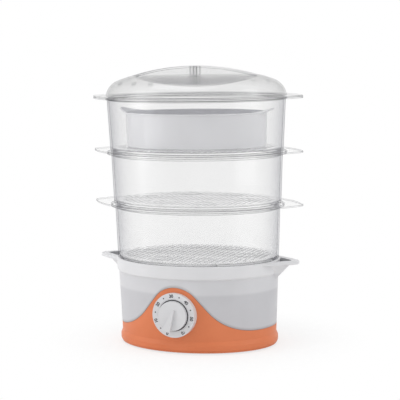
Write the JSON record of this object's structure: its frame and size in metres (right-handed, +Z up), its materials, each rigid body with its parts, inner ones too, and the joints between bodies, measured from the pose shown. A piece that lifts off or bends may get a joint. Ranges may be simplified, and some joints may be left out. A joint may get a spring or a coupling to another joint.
{
  "type": "electric food steamer",
  "caption": "Electric food steamer with a pale oval base, an orange wave skirt and timer dial, clear stacked steaming bowls, a rice bowl and a clear domed lid.",
  "frame": {"origin": "middle of the footprint, on the surface that the feet stand on", "axes": "+Z up; -Y towards the front, where the timer dial is; +X to the right as seen from the front, along the long axis of the oval"},
  "size_m": [0.3194, 0.2254, 0.4],
  "materials": {
    "housing_plastic": "moulded pale grey, satin",
    "orange_plastic": "moulded orange, satin gloss",
    "cover_plastic": "moulded grey, fine texture",
    "foot_rubber": "matt",
    "screw_steel": "zinc plated",
    "tank_plastic": "moulded white",
    "seal_rubber": "silicone",
    "heater_metal": "cast and turned",
    "element_steel": "annealed sheath",
    "sensor_plastic": "phenolic",
    "fuse_body": "drawn can",
    "spring_steel": "rolled strip",
    "dial_plastic": "moulded white with printed scale",
    "knob_plastic": "moulded white",
    "timer_plastic": "moulded",
    "bell_steel": "pressed and plated",
    "shaft_steel": "drawn",
    "gland_rubber": "matt",
    "clamp_plastic": "moulded nylon",
    "block_plastic": "moulded nylon",
    "ring_plastic": "moulded",
    "tray_plastic": "moulded translucent",
    "bowl_plastic": "moulded clear",
    "grate_plastic": "moulded clear",
    "rice_plastic": "moulded grey-white",
    "lid_plastic": "moulded clear"
  },
  "bodies": {
    "base": {"upper_housing": "housing_plastic", "lower_skirt": "orange_plastic", "bottom_cover": "cover_plastic", "rubber_feet": "foot_rubber", "cover_screws": "screw_steel", "water_tank": "tank_plastic", "heater_gasket": "seal_rubber", "heater_plate": "heater_metal", "heater_clamp_ring": "spring_steel", "heater_screws": "screw_steel", "heating_element": "element_steel", "thermostat": "sensor_plastic", "thermal_fuse": "fuse_body", "thermostat_clip": "spring_steel", "dial_plate": "dial_plastic", "timer_screws": "screw_steel", "timer_case": "timer_plastic", "timer_bell": "bell_steel", "cord_gland": "gland_rubber", "cord_clamp": "clamp_plastic", "clamp_screws": "screw_steel", "terminal_block": "block_plastic"},
    "knob": {"timer_knob": "knob_plastic", "timer_shaft": "shaft_steel", "knob_spring_clip": "spring_steel"},
    "turbo_ring": {"turbo_ring": "ring_plastic"},
    "drip_tray": {"drip_tray": "tray_plastic"},
    "bowl_1": {"bowl_1": "bowl_plastic"},
    "grate_1": {"grate_1": "grate_plastic"},
    "bowl_2": {"bowl_2": "bowl_plastic"},
    "grate_2": {"grate_2": "grate_plastic"},
    "bowl_3": {"bowl_3": "bowl_plastic"},
    "grate_3": {"grate_3": "grate_plastic"},
    "rice_bowl": {"rice_bowl": "rice_plastic"},
    "lid": {"lid": "lid_plastic"}
  },
  "joints": [
    {"name": "timer_knob_turn", "type": "hinge", "parent": "base", "child": "knob", "pos_m": [0, -0.098, 0.056], "axis": [0, 1, 0], "range_deg": [0, 308]},
    {"name": "turbo_ring_lift", "type": "slide", "parent": "base", "child": "turbo_ring", "axis": [0, 0, 1], "range_m": [0, 0.06]},
    {"name": "drip_tray_lift", "type": "slide", "parent": "turbo_ring", "child": "drip_tray", "axis": [0, 0, 1], "range_m": [0, 0.06]},
    {"name": "bowl_1_lift", "type": "slide", "parent": "drip_tray", "child": "bowl_1", "axis": [0, 0, 1], "range_m": [0, 0.06]},
    {"name": "grate_1_lift", "type": "slide", "parent": "bowl_1", "child": "grate_1", "axis": [0, 0, 1], "range_m": [0, 0.12]},
    {"name": "bowl_2_lift", "type": "slide", "parent": "grate_1", "child": "bowl_2", "axis": [0, 0, 1], "range_m": [0, 0.06]},
    {"name": "grate_2_lift", "type": "slide", "parent": "bowl_2", "child": "grate_2", "axis": [0, 0, 1], "range_m": [0, 0.12]},
    {"name": "bowl_3_lift", "type": "slide", "parent": "grate_2", "child": "bowl_3", "axis": [0, 0, 1], "range_m": [0, 0.06]},
    {"name": "grate_3_lift", "type": "slide", "parent": "bowl_3", "child": "grate_3", "axis": [0, 0, 1], "range_m": [0, 0.12]},
    {"name": "rice_bowl_lift", "type": "slide", "parent": "grate_3", "child": "rice_bowl", "axis": [0, 0, 1], "range_m": [0, 0.12]},
    {"name": "lid_lift", "type": "slide", "parent": "rice_bowl", "child": "lid", "axis": [0, 0, 1], "range_m": [0, 0.12]}
  ]
}
